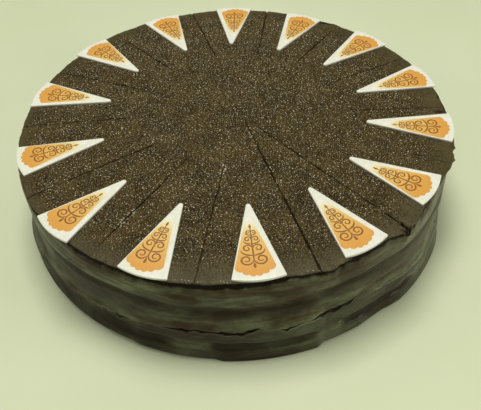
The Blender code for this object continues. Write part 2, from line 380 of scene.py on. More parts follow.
def hermite(knots, values, spacing):
    """Smooth rows through each column's knots, about spacing apart, with no overshoot."""
    gaps = np.diff(knots, axis=0)
    slopes = np.diff(values, axis=0) / gaps
    middle = np.where(slopes[1:] * slopes[:-1] > 0.0, 2.0 * slopes[1:] * slopes[:-1], 0.0)
    middle = middle / np.where(np.abs(slopes[1:] + slopes[:-1]) > 1e-9, slopes[1:] + slopes[:-1], 1.0)
    tangents = np.concatenate([slopes[:1], middle, slopes[-1:]])
    rows_at, rows_of = [], []
    for index, gap in enumerate(gaps):
        steps = max(2, round(gap.mean() / spacing))
        for step in range(steps):
            t = step / steps
            ease = t * t * (3.0 - 2.0 * t)
            bend = t * (1.0 - t)
            pull = tangents[index] * (1.0 - t) - tangents[index + 1] * t
            rows_of.append(values[index] * (1.0 - ease) + values[index + 1] * ease + pull * bend * gap)
            rows_at.append(knots[index] + gap * t)
    return np.array(rows_at + [knots[-1]]), np.array(rows_of + [values[-1]])


def recess_reach(angle):
    """1 where the drawn-in stretch above the foot runs, falling to 0 in the gaps between its parts."""
    return np.clip(sum(turn_between(angle, start, end, 3.5) for start, end in RECESS_PARTS), 0.0, 1.0)


def recess_edges(angle):
    """Depths of the recess's upper and lower edge in millimetres; it climbs towards the left side, and
    slopes down towards the front at the right."""
    climb = stretches(((-172.0, -112.0, 30.0, 6.5), (40.0, 120.0, 25.0, 1.5)), angle)
    slope = 3.0 * turn_between(angle, -67.5, -45.0, 12.0)
    top = RECESS_TOP + 0.4 * round_noise(33, 14, angle) - climb + slope
    low = RECESS_BOTTOM + 0.6 * slope + 0.3 * round_noise(36, 10, angle)
    return top, low


# How far down the crease under the lip, painted dark as shade, reaches: (angle, depth in millimetres)
CREASE_COURSE = (
    (-180.0, 3.3), (-144.0, 3.5), (-134.0, 3.9), (-128.0, 4.5), (-117.0, 4.3), (-108.0, 3.8), (-104.0, 4.4),
    (-92.0, 4.4), (-86.0, 4.2), (-81.0, 3.8), (-78.0, 3.3), (-68.0, 3.3), (-65.0, 3.9), (-56.0, 3.9),
    (-53.0, 3.2), (-46.0, 3.5), (-36.0, 3.8), (-28.0, 3.3), (-20.0, 2.6), (20.0, 2.8), (180.0, 2.9),
)


def side_knots(angle):
    """(depth, stand-out, cut, shade) down the side, in millimetres; cut and shade are painted shade, cut in
    the crease under the lip and inside the seam's gaps, shade also in the fold, the recess and low down."""
    fold, seam, gap = fold_depth(angle), seam_depth(angle), seam_gap(angle)
    torn = ramp(gap, 0.05, 0.5)
    mouth = 1.7 * gap * (1.0 + 0.25 * round_noise(37, 2.2, angle))
    teeth = 0.36 * round_noise(31, 1.7, angle)
    crease = follow(CREASE_COURSE, angle) + 0.2 * round_noise(32, 11, angle)
    crease = np.clip(crease + teeth, 2.15, 5.0)
    (recess, low), drawn = recess_edges(angle), recess_reach(angle)
    ledge = 0.3 * round_noise(34, 6, angle)
    flare = 0.3 * round_noise(35, 12, angle)
    # dusky adds painted shade at the left and front left
    dusky = turn_between(angle, -178.0, -106.0, 14.0)
    return (
        (1.75 + 0 * angle, -1.3, 1.0, 1.0),
        (crease - 0.35, -0.85, 1.0, 1.0),
        (crease, -0.5, 0.6, 0.6),
        (crease + 0.5, -0.1, 0.0, 0.2),
        (6.5, 0.45, 0.0, 0.0),
        (10.0, 0.65, 0.0, 0.0),
        (fold - 3.4, 0.55, 0.0, 0.1),
        (fold - 1.7, -0.1, 0.0, 0.45),
        (fold - 0.5, -0.75, 0.0, 0.9),
        (fold + 1.0, -0.55, 0.0, 0.9),
        (fold + 3.2, 0.05, 0.0, 0.75),
        (fold + 6.0, 0.35, 0.0, 0.5 + 0.3 * dusky),
        (seam - 5.0 + ledge, 0.5, 0.0, 0.1 + 0.5 * dusky),
        (seam - 2.4 + ledge, 0.95, 0.0, 0.3 * dusky),
        (seam - 0.6, 1.15, 0.0, 0.0),
        (seam, 0.95, 0.15 * torn, 0.4 * torn),
        (seam + 0.2, 0.8 - 1.7 * gap, torn, torn),
        (seam + 0.25 + 0.5 * mouth, 0.7 - 1.9 * gap, torn, torn),
        (seam + 0.3 + mouth, 0.8, 0.6 * torn, 0.8 * torn),
        (seam + 0.8 + mouth, 0.85, 0.0, 0.1),
        (seam + 2.4 + mouth, 0.6, 0.0, 0.65 + 0.25 * dusky),
        (0.4 * seam + 0.6 * recess + 1.0, 0.5, 0.0, 0.7 + 0.25 * dusky),
        (recess - 0.9, 0.4, 0.0, 0.6 + 0.25 * dusky),
        (recess - 0.1, 0.3 - 0.5 * drawn, 0.0, 0.3 + 0.7 * drawn),
        (recess + 0.9, 0.2 - 2.1 * drawn, 0.0, 0.2 + 0.8 * drawn),
        (0.6 * recess + 0.4 * low, 0.2 - 1.9 * drawn, 0.0, 0.2 + 0.8 * drawn),
        (low - 0.3, 0.2 - 1.1 * drawn, 0.0, 0.2 + 0.7 * drawn),
        (low + 1.2, 0.1 + flare, 0.0, 0.65 + 0.3 * dusky),
        (54.6, 0.35 + flare, 0.0, 0.55 + 0.35 * dusky),
        (56.6, 0.1 + 0.5 * flare, 0.0, 0.7 + 0.25 * dusky),
        (57.9, -0.1, 0.0, 0.7),
        (HEIGHT / MM, -0.5, 0.0, 1.0),
    )


# Thin ridges where glaze ran together: (points of angle and depth, height, half-width, softness of the
# ends). Lengths are in millimetres. Those at the front are level.
RIDGES = (
    (((-58.0, 36.0), (-37.5, 36.0)), 0.8, 0.95, 2.5),
    (((-51.5, 45.3), (-40.8, 45.3)), 0.7, 0.75, 2.0),
    (((-67.6, 45.5), (-66.0, 45.5)), 0.7, 0.9, 0.4),
    (((-44.0, 39.4), (-38.5, 39.4)), 0.45, 0.6, 2.0),
    (((-143.0, 43.4), (-124.0, 43.4)), 0.5, 0.7, 3.0),
    (((-84.0, 50.6), (-75.0, 50.6)), 0.45, 0.6, 2.0),
    (((20.0, 41.0), (34.0, 43.4), (48.0, 42.2)), 0.6, 0.7, 4.0),
    (((96.0, 52.4), (108.0, 50.0), (124.0, 51.6)), 0.6, 0.7, 4.0),
)


def side_ridges(depth, angle):
    """How far the thin ridges stand out, in millimetres."""
    high = np.zeros_like(depth)
    for points, height, half, soft in RIDGES:
        course = follow(points, angle) + 0.25 * round_noise(38, 4, angle)
        reach = turn_between(angle, points[0][0], points[-1][0], soft)
        high = np.maximum(high, height * reach * bell(depth / MM, course, half))
    return high


def side_relief(depth, angle):
    """Waves, spatula drags, wrinkles and ridges that stand out from the profile, in millimetres."""
    waves = 0.2 * side_noise(41, 8, 24, depth, angle)
    drags = 0.05 * side_noise(42, 1.3, 22, depth, angle)
    grain = 0.03 * side_noise(43, 1.2, 2.4, depth, angle)
    swayed = depth + 6 * MM * np.sin(np.radians(3 * angle))
    wrinkled = turn_between(angle, -112.0, -88.0, 8.0) * ramp(np.abs(depth / MM - 8.5), 6.0, 2.0)
    wrinkles = 0.4 * wrinkled * side_noise(44, 2.6, 6, swayed, angle)
    edge = ramp(depth / MM, 1.5, 4.0) * ramp(depth / MM, 58.6, 57.0)
    return (waves + drags + grain + wrinkles + side_ridges(depth, angle)) * edge


def side_gloss(depth, angle):
    """How wet the glaze looks, from 0 for dull to 1 for mirror-like: dull low down on the left, wet on the
    thin ridges and inside the recess at the right. Near 1 it also paints a highlight into the colour."""
    down = depth / MM
    dull = turn_between(angle, -190.0, -100.0, 20.0) * ramp(down, 14.0, 30.0)
    (recess, low), wet = recess_edges(angle), turn_between(angle, -68.0, -40.0, 4.0)
    inside = ramp(down, recess, recess + 1.0) * ramp(down, low + 1.0, low) * wet
    return np.clip(0.5 - 0.45 * dull + 0.35 * inside + 0.95 * side_ridges(depth, angle), 0.0, 1.0)


# Where the side turns dark above the left foot: (angle, depth in millimetres)
DARK_FOOT = (
    (-170.0, 48.0), (-152.8, 46.0), (-145.5, 43.0), (-140.2, 41.2), (-132.8, 42.8), (-124.0, 43.5),
    (-116.0, 48.0),
)


def side_dusk(depth, angle):
    """Painted shade that darkens the side low down, from 0 to 1: over the foot at the front and left, most
    at the left foot, and inside the recess."""
    down = depth / MM
    low = 0.2 * turn_between(angle, -160.0, -76.0, 6.0) * ramp(down, 34.0, 40.0)
    line = follow(DARK_FOOT, angle)
    foot = 0.75 * turn_between(angle, -178.0, -116.0, 6.0) * ramp(down, line - 0.4, line + 0.9)
    top, bottom = recess_edges(angle)
    inside = 0.55 * ramp(down, top, top + 1.0) * ramp(down, bottom + 1.0, bottom)
    return np.maximum(np.maximum(low, foot), inside * recess_reach(angle))


# Small burst bubbles in the lower side, in each repeat of the seam: (degrees into it, depth and radius in
# millimetres), and how deep they sink, in millimetres; they are painted dark as shade
PITS = (
    (3.5, 36.0, 0.8), (8.0, 37.5, 1.1), (11.5, 36.6, 0.7), (16.0, 38.2, 0.9), (20.0, 36.2, 0.7),
    (60.0, 39.4, 0.6),
)
PIT_DEPTH = 0.8


def side_pits(depth, angle):
    """1 inside the burst bubbles, falling to 0 at their edges."""
    hollow = np.zeros_like(depth)
    for turn, down, size in PITS:
        across = np.radians(seam_turn(angle) - turn) * FOOT_RADIUS / MM
        hollow = np.maximum(hollow, ramp(oval(across, depth / MM - down, 1.1 * size, size), 0.0, 0.8))
    return hollow


def side_wall(angle):
    """The wall that shows, row by row downwards: (depth, radius, radius without its profile, looks)."""
    table = [np.broadcast_arrays(*row, angle)[:4] for row in side_knots(angle)]
    knots, stands, cuts, shades = (np.array([row[index] for row in table], float) for index in range(4))
    down, stand = hermite(knots, stands, SIDE_ROW)
    cut, shade = (hermite(knots, values, SIDE_ROW)[1] for values in (cuts, shades))
    depth = down * MM
    pits = side_pits(depth, angle)
    plain = rim_radius(angle) + (foot_radius(angle) - rim_radius(angle)) * depth / HEIGHT
    plain = plain + lip_swell(angle) * ramp(depth, SWELL_REACH, 0.0) - waist(angle, depth)
    # cut and shade are painted shade; gloss near 1 also paints a highlight
    looks = {
        "cut": np.clip(cut + 0.8 * pits, 0.0, 1.0),
        "shade": np.clip(shade + side_dusk(depth, angle), 0.0, 1.0),
        "gloss": side_gloss(depth, angle),
    }
    return depth, plain + (stand + side_relief(depth, angle) - PIT_DEPTH * pits) * MM, plain, looks


# The rings that don't show, in millimetres: (inset, depth) under the lip, and insets on the underside
HIDDEN_RINGS = ((6.0, 3.2), (3.4, 2.4))
UNDERSIDE_RINGS = (1.5, 6.0)
# The looks of both: (under the lip, on the underside); cut and shade there are painted shade
HIDDEN_LOOKS = {"cut": (1.0, 0.0), "shade": (1.0, 1.0), "gloss": (0.0, 0.0)}


def make_side(material):
    angle = np.arange(SIDE_COLUMNS) * 360.0 / SIDE_COLUMNS
    depth, radius, plain, looks = side_wall(angle)
    inner = np.array([plain[0] - inset * MM for inset, _ in HIDDEN_RINGS])
    inner_depth = np.array([np.full_like(angle, down * MM) for _, down in HIDDEN_RINGS])
    under = np.array([radius[-1] - inset * MM for inset in UNDERSIDE_RINGS])
    radius = np.concatenate([inner, radius, under])
    depth = np.concatenate([inner_depth, depth, np.full_like(under, HEIGHT)])
    turn = np.radians(angle)
    points = np.stack([radius * np.cos(turn), radius * np.sin(turn), HEIGHT - depth], -1).reshape(-1, 3)
    ends = [[0.0, 0.0, HEIGHT - HIDDEN_RINGS[0][1] * MM], [0.0, 0.0, 0.0]]
    for name, (above, below) in HIDDEN_LOOKS.items():
        rings = np.concatenate([np.full_like(inner, above), looks[name], np.full_like(under, below)])
        looks[name] = np.append(rings, [1.0, 1.0])
    faces = closed_faces(len(radius), SIDE_COLUMNS)
    side = new_mesh("side_glaze", np.concatenate([points, ends]), faces, **looks)
    wrap_side_uv(side)
    side.data.materials.append(material)
    return side


# The side's map: how many rows its band takes, and the discs' radius as a share of the map
UV_BANDS = 4
DISC_SHARE = 0.09


def wrap_side_uv(side):
    """Lays the side's band in four rows of the map, and the top and bottom discs in its last row."""
    place, counts = face_corners(side)
    x, y, z = place.T
    starts = np.concatenate([[0], np.cumsum(counts)[:-1]])
    face_of = np.repeat(np.arange(len(counts)), counts)
    share = (angle_of(x, y) % 360.0) / 360.0
    first = share[starts][face_of]
    share = np.where(share < first - 0.5, share + 1.0, np.where(share > first + 0.5, share - 1.0, share))
    middle = np.add.reduceat(share, starts)[face_of] / counts[face_of]
    band = np.clip(np.floor(middle * UV_BANDS), 0, UV_BANDS - 1)
    u = 0.01 + 0.98 * (share * UV_BANDS - band)
    v = (band + 0.04 + 0.92 * z / HEIGHT) / (UV_BANDS + 1)
    fit = min(1.0, FOOT_RADIUS / np.hypot(x, y).max())
    disc_u = np.where(z < 0.5 * HEIGHT, 0.25, 0.75) + DISC_SHARE * x / FOOT_RADIUS
    disc_v = (UV_BANDS + 0.5) / (UV_BANDS + 1) + DISC_SHARE * y / FOOT_RADIUS * fit
    flat = np.repeat(counts == 3, counts)
    set_uv(side, np.stack([np.where(flat, disc_u, u), np.where(flat, disc_v, v)], -1))


# The top


def score_ray(number):
    """The direction of a score line, in radians."""
    return math.radians(FIRST_PLAQUE - STEP * (number - 0.5) + SCORES[number % SLICES].turned)


def score_turn(number, distance):
    """Which way a score line lies from the divider's mark at a distance out, in radians."""
    bend = SCORES[number % SLICES].passes * MM / distance
    return score_ray(number) + np.arcsin(np.clip(bend, -MOST_LEAN, MOST_LEAN))


def on_score(number, x, y):
    """Each point's place (along a score line from the divider's mark, beside the line), in millimetres."""
    ray = score_ray(number)
    along = (x - DIVIDER_X) * math.cos(ray) + y * math.sin(ray)
    off = y * math.cos(ray) - (x - DIVIDER_X) * math.sin(ray)
    return along / MM, off / MM - SCORES[number].passes


def score_cut(x, y):
    """(depth in millimetres, painted shade from 0 to 1) of the score lines at each point."""
    cut, shade = np.zeros_like(x), np.zeros_like(x)
    rim = RIM_RADIUS / MM
    for number, score in enumerate(SCORES):
        along, off = on_score(number, x, y)
        sway = line_noise(60 + number, 9, along * MM)
        teeth = line_noise(80 + number, 1.6, along * MM)
        strength = np.clip(score.strength * (0.9 + 0.15 * sway + 0.15 * teeth), 0.1, 1.2)
        strength *= smooth(along, score.start, score.start + 10.0)
        if number in UNFINISHED_SCORES:
            end = rim - UNFINISHED_SCORES[number]
            strength *= 1.0 - smooth(along, end, end + 6.0)
        if number not in DEEP_SCORES:
            strength *= 1.0 - 0.3 * smooth(along, rim - 22.0, rim - 12.0)
        half = SCORE_HALF_WIDTH * (0.4 + 0.6 * np.clip(strength, 0.1, 1.2) + 0.1 * teeth)
        shape = np.clip(1.0 - np.abs(off - 0.1 * sway) / half, 0.0, 1.0)
        cut = np.maximum(cut, SCORE_DEPTH * strength * shape**0.8)
        darkness = np.clip(0.25 + 0.45 * strength, 0.0, 0.75)
        shade = np.maximum(shade, darkness * np.clip(3.0 * shape, 0.0, 1.0))
    return cut, shade


def broken_end(x, y):
    """How deep the torn hollow sinks where the broken score line meets the rim, in millimetres; a crumb of
    glaze stands in its middle."""
    along, off = on_score(BROKEN_SCORE, x, y)
    along = along - reach_rim(np.array([score_ray(BROKEN_SCORE)]))[0] / MM
    ragged = 0.3 * top_noise(91, 1.6, x, y)
    hole = oval(along + 4.6, off - 0.1, 2.6, 1.5)
    notch = oval(along + 0.6, off + 0.6, 2.6, 2.6)
    crumb = oval(along + 1.7, off + 1.3, 1.0, 1.1)
    return 3.0 * ramp(np.maximum(hole, notch) + ragged, 0.0, 0.5) - 2.0 * ramp(crumb + ragged, 0.0, 0.8)


# Where the lip is torn at the right and back, sunk and painted dark as shade: (from, to, how wide in
# millimetres)
TORN_LIPS = ((53.0, 69.0, 2.8), (-4.0, 8.0, 1.4))
# Nicks inside the lip, sunk and painted dark as shade: (angle, inset, half-length and half-width in
# millimetres)
NICKS = ((-2.6, 5.0, 3.4, 0.9), (-17.0, 1.0, 2.2, 0.7))


def torn_lip(x, y):
    """1 where the torn lip at the right and back, and the nicks beside it, are painted dark as shade."""
    angle, inset = angle_of(x, y), rim_inset(x, y)
    ragged = 0.3 * top_noise(93, 2.4, x, y)
    torn = np.zeros_like(x)
    for start, end, width in TORN_LIPS:
        reach = ramp(inset / width + ragged, 1.2, 0.7)
        torn = np.maximum(torn, turn_between(angle, start, end, 3.0) * reach)
    for turn, middle, *halves in NICKS:
        nick = oval(inset - middle, np.radians(angle - turn) * RIM_RADIUS / MM, *halves)
        torn = np.maximum(torn, ramp(nick + ragged, 0.1, 0.5))
    return torn


def top_relief(x, y):
    """(height above the flat top in metres, cut from 0 to 1) at each point; cut is painted shade in the
    score lines, the torn hollow, the torn lip and the nicks.
    """
    height = 0.07 * top_noise(51, 24, x, y) + 0.05 * top_noise(52, 5, x, y)
    scored, shade = score_cut(x, y)
    broken, torn = broken_end(x, y), torn_lip(x, y)
    height = height - np.maximum(np.maximum(scored, broken), 0.6 * torn)
    return height * MM, np.maximum(np.maximum(shade, ramp(broken, 0.1, 0.5)), torn)


def lane_angle(column, distance):
    """The direction from the divider of a column of the top's mesh, at a distance out."""
    number, index = np.divmod(column, len(SCORE_LANES) + PLAIN_COLUMNS)
    distance = np.broadcast_to(distance, np.broadcast_shapes(distance.shape, column.shape))
    turns = np.array([score_turn(line, distance) for line in range(SLICES + 1)])
    number = np.broadcast_to(number, distance.shape)[None]
    here, after = (np.take_along_axis(turns, number + step, 0)[0] for step in (0, 1))
    widest = SCORE_LANES[-1] * MM
    lanes = np.array(SCORE_LANES + (SCORE_LANES[-1],) * PLAIN_COLUMNS) * MM
    edge = np.minimum(widest / distance, LANE_LIMIT)
    on_lane = -lanes[index] * edge / widest
    share = (index - len(SCORE_LANES) + 1) / (PLAIN_COLUMNS + 1)
    between = -edge - (here - after - 2.0 * edge) * share
    return here + np.where(index < len(SCORE_LANES), on_lane, between)


def reach_rim(ray):
    """How far the lip is from the divider along each direction."""
    reach = np.full_like(ray, RIM_RADIUS)
    for _ in range(6):
        x, y = DIVIDER_X + reach * np.cos(ray), reach * np.sin(ray)
        reach = reach + ragged_rim(angle_of(x, y)) - np.hypot(x, y)
    return reach


def rim_inset(x, y):
    """How far in from the rim's line each point lies, in millimetres."""
    angle = angle_of(x, y)
    return (rim_radius(angle) + lip_swell(angle) - np.hypot(x, y)) / MM


# How wide the smooth band inside the rim is: (angle, millimetres); the grain thins out over it, and a
# painted sheen fades across it
SMOOTH_BAND = (
    (-180.0, 9.0), (-140.0, 9.0), (-125.0, 15.0), (-100.0, 22.0), (-60.0, 20.0), (-35.0, 25.0),
    (20.0, 25.0), (60.0, 18.0), (120.0, 16.0), (160.0, 10.0), (180.0, 9.0),
)


def rim_nearness(x, y):
    """1 at the rim, falling to 0 where the smooth band inside it ends."""
    return smooth(rim_inset(x, y), follow(SMOOTH_BAND, angle_of(x, y)), 0.0)


# The lip's section, over its crisp edge and back in under it: (inset, depth) in millimetres
LIP_TOP = (
    (8.0, 0.0), (6.0, 0.02), (4.4, 0.07), (3.0, 0.15), (1.9, 0.26), (1.0, 0.4), (0.4, 0.57), (0.08, 0.75),
)
LIP_UNDER = (
    (0.0, 0.95), (0.05, 1.15), (0.25, 1.35), (0.7, 1.5), (1.5, 1.62), (2.6, 1.9), (3.6, 2.6), (5.0, 3.4),
)


def top_rings():
    """(points, cut) of the rings from the middle of the top out to the lip's edge."""
    column = np.arange(TOP_COLUMNS)
    reach = np.full(TOP_COLUMNS, RIM_RADIUS)
    for _ in range(4):
        reach = reach_rim(lane_angle(column, reach))
    flat_share = (np.arange(TOP_RINGS) + 1.0) / (TOP_RINGS + 1.0)
    flat_end = reach - LIP_TOP[0][0] * MM
    distance = [flat_end * share**0.9 for share in flat_share]
    distance = np.array(distance + [reach - inset * MM for inset, _ in LIP_TOP])
    turn = lane_angle(column[None, :], distance)
    x, y = DIVIDER_X + distance * np.cos(turn), distance * np.sin(turn)
    relief, cut = top_relief(x, y)
    drop = np.concatenate([np.zeros(TOP_RINGS), [down * MM for _, down in LIP_TOP]])[:, None]
    return np.stack([x, y, HEIGHT + relief - drop], -1), cut


def lip_rings(edge):
    """(points, cut) of the rings from the lip's edge back in under it, each lower than the one before; cut
    is painted shade under the lip.
    """
    length = np.hypot(edge[:, 0], edge[:, 1])
    rings, cuts = [], []
    for order, (inset, down) in enumerate(LIP_UNDER):
        scale = (length + (0.05 - inset) * MM) / length
        low = np.minimum(HEIGHT - down * MM, edge[:, 2] - 0.02 * MM * (order + 1))
        rings.append(np.stack([edge[:, 0] * scale, edge[:, 1] * scale, low], -1))
        cuts.append(np.full(TOP_COLUMNS, ramp(down, 1.0, 1.6)))
    return np.array(rings), np.array(cuts)


def make_top(material):
    rings, cut = top_rings()
    under, under_cut = lip_rings(rings[-1])
    points = np.concatenate([rings, under])[:, ::-1].reshape(-1, 3)
    ends = [[DIVIDER_X, 0.0, rings[0, :, 2].mean()], [0.0, 0.0, HEIGHT - LIP_UNDER[-1][1] * MM]]
    points = np.concatenate([points, ends])
    cut = np.append(np.concatenate([cut, under_cut])[:, ::-1], [0.0, 0.0])
    x, y = points[:, 0], points[:, 1]
    # A painted sheen on the smooth band inside the rim, stronger at the front
    edge = rim_nearness(x, y) * (0.7 + 0.3 * turn_between(angle_of(x, y), -158.0, -22.0, 24.0))
    faces = closed_faces(len(rings) + len(under), TOP_COLUMNS)
    top = new_mesh("top_glaze", points, faces, cut=cut, edge=edge)
    flat_top_uv(top)
    top.data.materials.append(material)
    return top


def flat_top_uv(top):
    """The top seen from above fills the map; the underside is scaled into a corner of it."""
    place, counts = face_corners(top)
    normals = np.empty(len(counts) * 3, np.float32)
    top.data.polygons.foreach_get("normal", normals)
    under = np.repeat(normals[2::3] < -0.05, counts)
    spread = 0.47 / (RIM_RADIUS + 4 * MM)
    radius = np.maximum(np.hypot(place[:, 0], place[:, 1]), MM)
    grow = 1.0 + np.where(radius > 0.9 * RIM_RADIUS, 1.2 * (HEIGHT - place[:, 2]) / radius, 0.0)
    uv = 0.5 + place[:, :2] * spread * grow[:, None]
    corner = 0.055 + place[:, :2] * 0.05 / RIM_RADIUS
    set_uv(top, np.where(under[:, None], corner, uv))


# The grain on the top


# The lattice that the grain lies on, in shares of its pitch: from row to row, and how far a point strays
LATTICE_ROW = 0.866
JITTER = 0.42


def dome_parts(sides, shoulder):
    """Unit points and faces of a low dome: a top point, a shoulder ring where wanted, and a foot ring."""
    points = [[[0.0, 0.0, 1.0]]]
    for radius, z, twist in [(0.62, 0.72, 0.0)] * shoulder + [(1.0, -0.25, 0.4)]:
        turn = 2.0 * math.pi * np.arange(sides) / sides + twist
        points.append(np.stack([radius * np.cos(turn), radius * np.sin(turn), np.full(sides, z)], -1))
    after = [(index + 1) % sides for index in range(sides)]
    faces = [(0, 1 + index, 1 + after[index]) for index in range(sides)]
    for start in range(1, sides * shoulder, sides):
        for index in range(sides):
            a, b = start + index, start + after[index]
            faces += [(a, a + sides, b), (b, a + sides, b + sides)]
    foot = 1 + sides * shoulder
    faces += [(foot, foot + index + 1, foot + index) for index in range(1, sides - 1)]
    return np.concatenate(points), np.array(faces)


def scatter_points(pitch, seed):
    """(x, y, a random number each, the generator) for a jittered triangular lattice over the top."""
    rng = np.random.default_rng(seed)
    rows = np.arange(-RIM_RADIUS, RIM_RADIUS, pitch * LATTICE_ROW)
    x, y = np.meshgrid(np.arange(-RIM_RADIUS, RIM_RADIUS, pitch), rows)
    x = x + (np.arange(len(rows)) % 2)[:, None] * 0.5 * pitch
    x = (x + rng.uniform(-JITTER, JITTER, x.shape) * pitch).ravel()
    y = (y + rng.uniform(-JITTER, JITTER, y.shape) * pitch).ravel()
    return x, y, rng.random(x.size), rng


# How far grain and crumbs stay away from the plaques
GRAIN_MARGIN = 0.3 * MM


def under_plaque(x, y, poses, margin):
    """True where a point lies under a plaque, or within margin of one."""
    covered = np.zeros(x.shape, bool)
    for middle, along, length, width in poses:
        side = np.array([-along[1], along[0]])
        forward = (x - middle[0]) * along[0] + (y - middle[1]) * along[1]
        sideways = np.abs((x - middle[0]) * side[0] + (y - middle[1]) * side[1])
        share = ramp(forward, -0.5 * length, 0.5 * length)
        covered |= (np.abs(forward) < 0.5 * length + margin) & (sideways < 0.5 * width * share + margin)
    return covered


def lip_drop(x, y):
    """How far the lip's rounded edge has sunk below the flat top at each point, in metres."""
    insets, drops = zip(*reversed(LIP_TOP))
    return np.interp(rim_inset(x, y), insets, drops) * MM


def make_domes(name, parts, x, y, size, height, shade, rng, material):
    """Closed domes joined as one mesh; size, height and shade (0 dark to 1 pale, a painted glint) hold a
    number for each.
    """
    count = len(x)
    points, faces = parts
    turn = rng.uniform(0.0, 2.0 * math.pi, count)[:, None]
    stretch = rng.uniform(0.75, 1.3, count)[:, None]
    local = points[None] * rng.uniform(0.8, 1.2, (count, len(points), 3))
    lx, ly = 0.5 * size[:, None] * local[..., 0] * stretch, 0.5 * size[:, None] * local[..., 1] / stretch
    px = x[:, None] + lx * np.cos(turn) - ly * np.sin(turn)
    py = y[:, None] + lx * np.sin(turn) + ly * np.cos(turn)
    pz = (HEIGHT + top_relief(x, y)[0] - lip_drop(x, y))[:, None] + local[..., 2] * height[:, None]
    vertices = np.stack([px, py, pz], -1).reshape(-1, 3)
    all_faces = (faces[None] + (np.arange(count) * len(points))[:, None, None]).reshape(-1, 3)
    domes = new_mesh(name, vertices, all_faces.tolist(), shade=np.repeat(shade, len(points)))
    domes.data.materials.append(material)
    return domes


def make_grain(name, parts, pitch, size, height, darkness, seed, poses, material):
    x, y, chance, rng = scatter_points(pitch, seed)
    inset = rim_inset(x, y)
    patchy = 0.5 + 0.22 * top_noise(seed + 1, 14, x, y)
    reach = 1.0 - rim_nearness(x, y)
    keep = (inset > 1.6) & (chance < 0.4 + 0.6 * reach * (0.75 + 0.5 * patchy))
    keep &= ~under_plaque(x, y, poses, GRAIN_MARGIN)
    keep &= score_cut(x, y)[0] < 0.1
    x, y, reach = x[keep], y[keep], reach[keep]
    grow = (0.6 + 0.4 * reach) * rng.uniform(0.6, 1.3, len(x))
    # A few grains are painted pale as glints, fewer near the rim
    shade = rng.random(len(x)) ** darkness * (0.25 + 0.75 * reach)
    return make_domes(name, parts, x, y, size * grow, height * grow, shade, rng, material)


# How plentiful crumbs are beside each score line, from 0 to 1, in the order that they are made,
# how many are tried for each, and how far they lie from it in millimetres
BURR_LINES = {8: 0.3, 9: 0.35, 10: 0.4, 11: 1.0, 12: 1.0, 13: 0.7, 0: 0.3}
BURR_TRIES = 260
BURR_OFFSET = 0.85
# Small crumbs of glaze along the lip at the front, painted pale as glints: (from, to, how many)
RIM_CRUMBS = ((-125.0, -109.0, 10), (-104.0, -92.0, 14), (-76.0, -64.0, 6))


def rim_crumbs(rng):
    """Places of the crumbs along the lip."""
    turn = np.radians(np.concatenate([rng.uniform(start, end, count) for start, end, count in RIM_CRUMBS]))
    degrees = np.degrees(turn)
    out = rim_radius(degrees) + lip_swell(degrees) - rng.uniform(0.5, 1.8, len(turn)) * MM
    return out * np.cos(turn), out * np.sin(turn)


def score_crumbs(number, plenty, rng):
    """Places of the crumbs thrown up in clusters along both edges of a score line."""
    ray, score = score_ray(number), SCORES[number]
    along = rng.uniform((score.start + 6.0) * MM, RIM_RADIUS - 8 * MM, BURR_TRIES)
    clusters = line_noise(540 + number, 7, along)
    along = along[clusters + 0.5 * rng.standard_normal(BURR_TRIES) > 2.4 - 1.1 * plenty]
    off = score.passes + rng.normal(0.0, 0.35, len(along))
    off = (off + np.where(rng.random(len(along)) < 0.6, -BURR_OFFSET, BURR_OFFSET)) * MM
    x = DIVIDER_X + along * math.cos(ray) - off * math.sin(ray)
    return x, along * math.sin(ray) + off * math.cos(ray)


def make_burrs(poses, material):
    """Crumbs along the edges of the score lines and along the lip, painted pale as glints."""
    rng = np.random.default_rng(521)
    places = [score_crumbs(number, plenty, rng) for number, plenty in BURR_LINES.items()]
    x, y = (np.concatenate(values) for values in zip(*places, rim_crumbs(rng)))
    keep = ~under_plaque(x, y, poses, GRAIN_MARGIN)
    x, y = x[keep], y[keep]
    size = rng.uniform(0.45, 0.9, len(x)) * MM
    shade = rng.uniform(0.3, 0.9, len(x)) * smooth(rim_inset(x, y), -2.0, 5.0)
    return make_domes("burrs", dome_parts(5, 1), x, y, size, 0.35 * size, shade, rng, material)


# The plaques


def plaque_pose(name):
    """(middle, direction outwards, length, width) of a plaque's solid, seen from above."""
    outline = np.array([vertex.co[:2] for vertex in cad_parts[name].data.vertices])
    outline = np.unique(np.round(outline, 6), axis=0)
    centre = outline.mean(axis=0)
    along = np.linalg.svd(outline - centre)[2][0]
    along = along * np.sign(along @ centre)
    side = np.array([-along[1], along[0]])
    forward, sideways = outline @ along, outline @ side
    middle = along * 0.5 * (forward.min() + forward.max()) + side * 0.5 * (sideways.min() + sideways.max())
    return middle, along, np.ptp(forward), np.ptp(sideways)


# The plaque's outline, as its solid has it, and how far its print stays off it
PLAQUE_TIP_RADIUS = 1.3 * MM
PLAQUE_END_RADIUS = 44.0 * MM
PLAQUE_CORNER = 0.5 * MM
PRINT_MARGIN = 0.42 * MM


def arc(x, y, radius, start, end, count):
    """Points round a centre, from one direction to another."""
    turns = np.linspace(start, end, count)
    return [(x + radius * math.cos(turn), y + radius * math.sin(turn)) for turn in turns]


